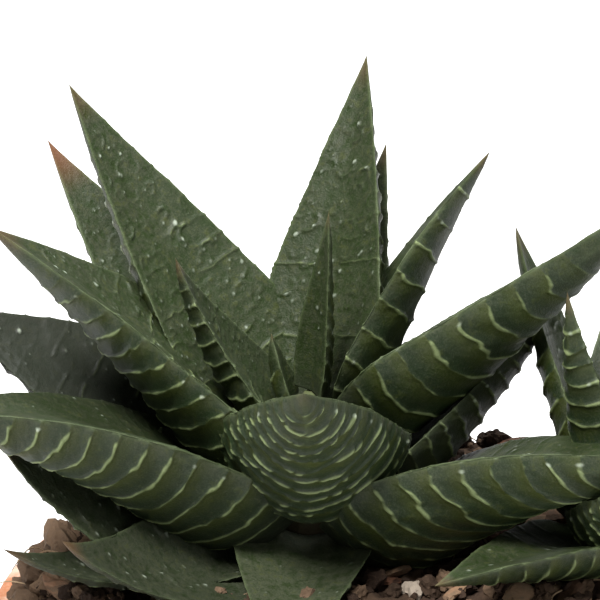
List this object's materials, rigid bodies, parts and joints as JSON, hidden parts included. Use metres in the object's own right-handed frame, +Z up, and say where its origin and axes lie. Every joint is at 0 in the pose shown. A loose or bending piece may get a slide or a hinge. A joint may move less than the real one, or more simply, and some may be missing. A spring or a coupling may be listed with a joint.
{
  "type": "potted aloe plant",
  "caption": "Low rosette succulent with stiff, keeled, cross-ridged pointed leaves and a smaller offset beside it, growing in mounded soil in a plain tapered clay pot",
  "frame": {"origin": "centre of the pot's flat base, on the surface it stands on", "axes": "+Z up along the pot's axis; -Y is the front, where the low front leaf points; +X is the side of the offset"},
  "size_m": [0.1682, 0.1334, 0.2013],
  "materials": {
    "clay": "matt unglazed clay",
    "earth": "rough crumbly soil",
    "stem_green": "dull plant stem",
    "leaf_green": "satin waxy leaf with pale cross ridges"
  },
  "bodies": {
    "root": {"main_leaf_back": "leaf_green", "main_leaf_back_left": "leaf_green", "main_leaf_back_left_tall": "leaf_green", "main_leaf_back_right": "leaf_green", "main_leaf_back_right_low": "leaf_green", "main_leaf_back_tall": "leaf_green", "main_leaf_core": "leaf_green", "main_leaf_core_left": "leaf_green", "main_leaf_front": "leaf_green", "main_leaf_ground_far_left": "leaf_green", "main_leaf_ground_left": "leaf_green", "main_leaf_inner_left": "leaf_green", "main_leaf_inner_right": "leaf_green", "main_leaf_left": "leaf_green", "main_leaf_low_left": "leaf_green", "main_leaf_low_left_front": "leaf_green", "main_leaf_low_right": "leaf_green", "main_leaf_low_right_front": "leaf_green", "main_leaf_lowest_back": "leaf_green", "main_leaf_lowest_back_left": "leaf_green", "main_leaf_lowest_front": "leaf_green", "main_leaf_lowest_left": "leaf_green", "main_leaf_right": "leaf_green", "main_stem": "stem_green", "pot": "clay", "pup_leaf_back": "leaf_green", "pup_leaf_back_left": "leaf_green", "pup_leaf_core": "leaf_green", "pup_leaf_front": "leaf_green", "pup_leaf_low_back_right": "leaf_green", "pup_leaf_low_left": "leaf_green", "pup_leaf_low_right": "leaf_green", "pup_leaf_right": "leaf_green", "pup_leaf_small_left": "leaf_green", "pup_leaf_upright_back": "leaf_green", "pup_leaf_upright_left": "leaf_green", "pup_stem": "stem_green", "soil": "earth"}
  },
  "joints": []
}
